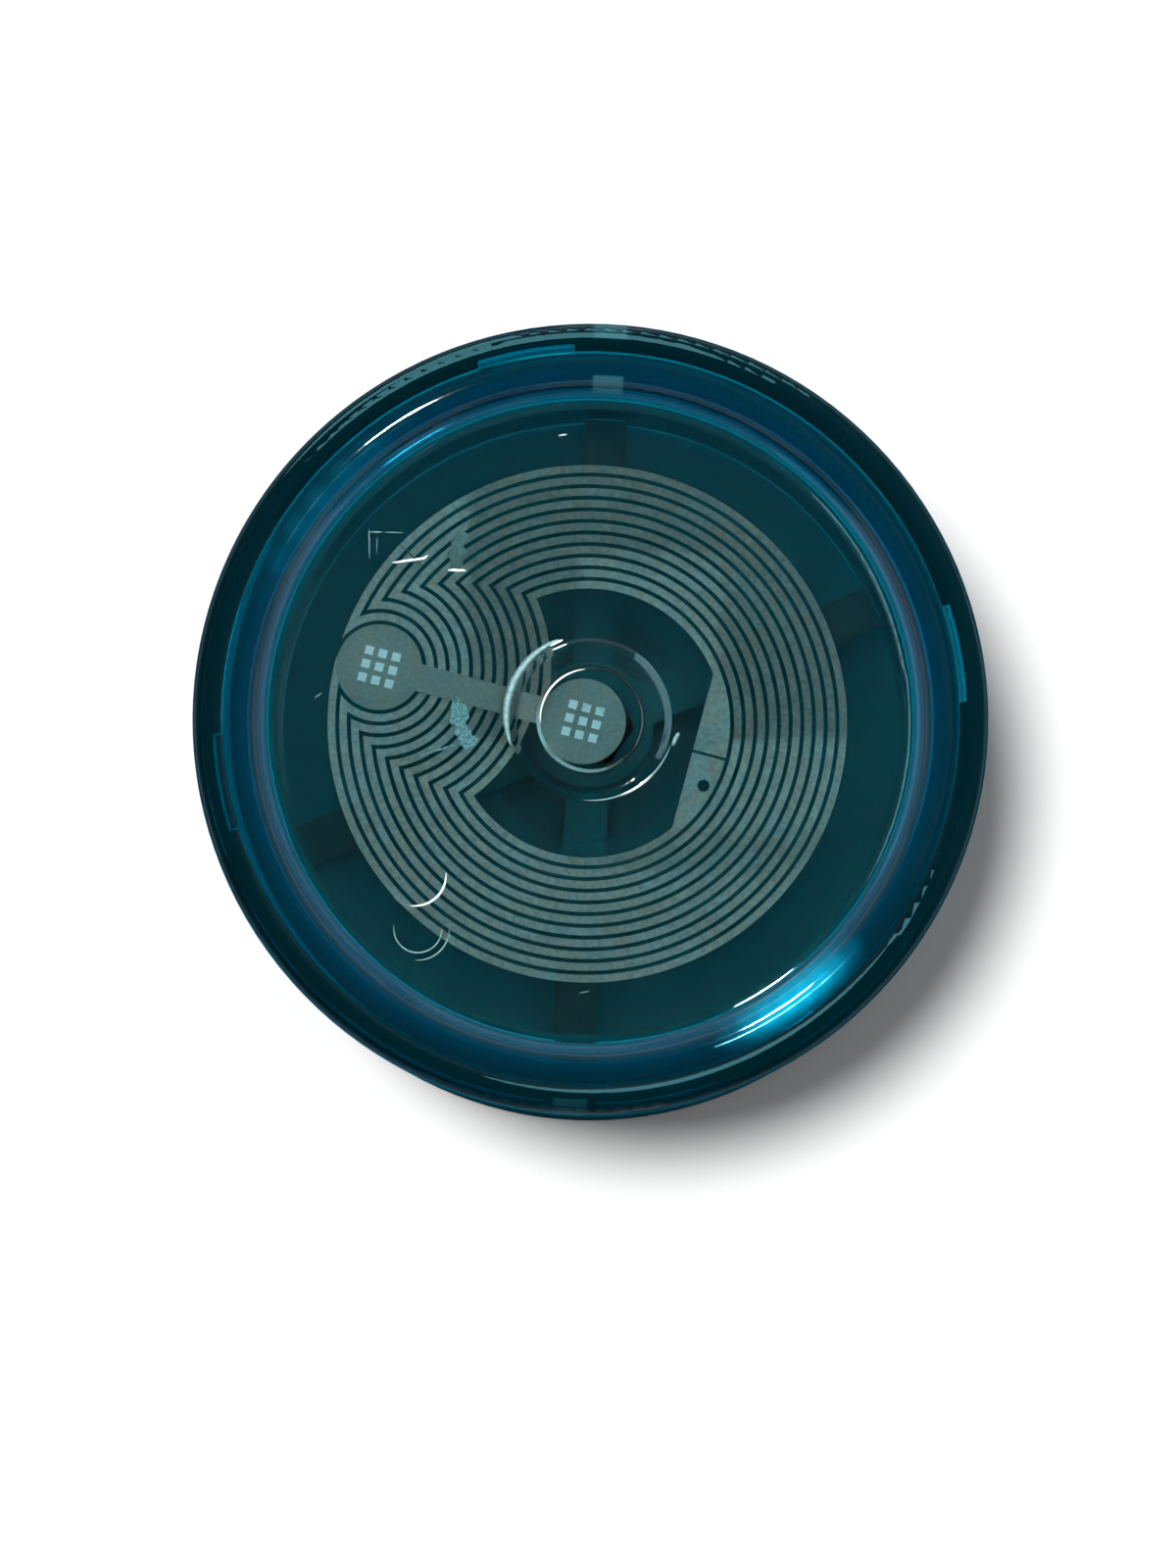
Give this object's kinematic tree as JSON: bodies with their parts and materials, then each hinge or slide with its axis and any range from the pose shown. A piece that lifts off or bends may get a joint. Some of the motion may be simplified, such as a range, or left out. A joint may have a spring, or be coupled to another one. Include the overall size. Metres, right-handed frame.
{
  "type": "yo-yo",
  "caption": "Translucent yo-yo: two hollow halves with snap-in clear faces, a ball bearing on a threaded axle, and a round foil antenna under one face.",
  "frame": {"origin": "centre of the circle that the far rim rests on", "axes": "+Z along the axle, from the far half up to the near half"},
  "size_m": [0.057, 0.057, 0.031],
  "materials": {
    "teal_shell": "moulded translucent polycarbonate, polished",
    "teal_face": "moulded transparent polycarbonate, polished",
    "antenna_foil": "etched foil, matt",
    "strap_foil": "foil, matt, crimped",
    "clear_film": "clear polyester film",
    "blackened_steel": "black oxide, oiled",
    "bearing_steel": "ground and polished",
    "turned_brass": "turned",
    "cage_nylon": "moulded nylon",
    "silicone": "cast dark silicone, matt"
  },
  "bodies": {
    "far_half": {"far_half_shell": "teal_shell", "far_face_cap": "teal_face", "far_axle_nut": "blackened_steel", "far_spacer": "turned_brass", "far_response_pad": "silicone", "axle_stud": "blackened_steel", "bearing_inner_race": "bearing_steel"},
    "bearing_outer": {"bearing_outer_race": "bearing_steel", "near_bearing_shield": "bearing_steel", "far_bearing_shield": "bearing_steel"},
    "bearing_cage": {"bearing_cage": "cage_nylon", "bearing_balls": "bearing_steel"},
    "lift_ring": {"near_spacer": "turned_brass"},
    "near_half": {"near_half_shell": "teal_shell", "near_face_cap": "teal_face", "near_axle_nut": "blackened_steel", "near_response_pad": "silicone", "inlay_film": "clear_film", "antenna_coil": "antenna_foil", "bridge_strap": "strap_foil"}
  },
  "joints": [
    {"name": "bearing_spin", "type": "hinge", "parent": "far_half", "child": "bearing_outer", "pos_m": [0, 0, 0.0155], "axis": [0, 0, 1], "continuous": true},
    {"name": "cage_spin", "type": "hinge", "parent": "far_half", "child": "bearing_cage", "pos_m": [0, 0, 0.0155], "axis": [0, 0, 1], "continuous": true},
    {"name": "half_lift", "type": "slide", "parent": "far_half", "child": "lift_ring", "axis": [0, 0, 1], "range_m": [0, 0.00401]},
    {"name": "half_unscrew", "type": "hinge", "parent": "lift_ring", "child": "near_half", "pos_m": [0, 0, 0.0155], "axis": [0, 0, 1], "range_deg": [0, 2880]}
  ],
  "couplings": [
    {"joint": "cage_spin", "follows": "bearing_spin", "ratio": 0.6501},
    {"joint": "half_lift", "follows": "half_unscrew", "m_per_rad": 0.000079577}
  ]
}
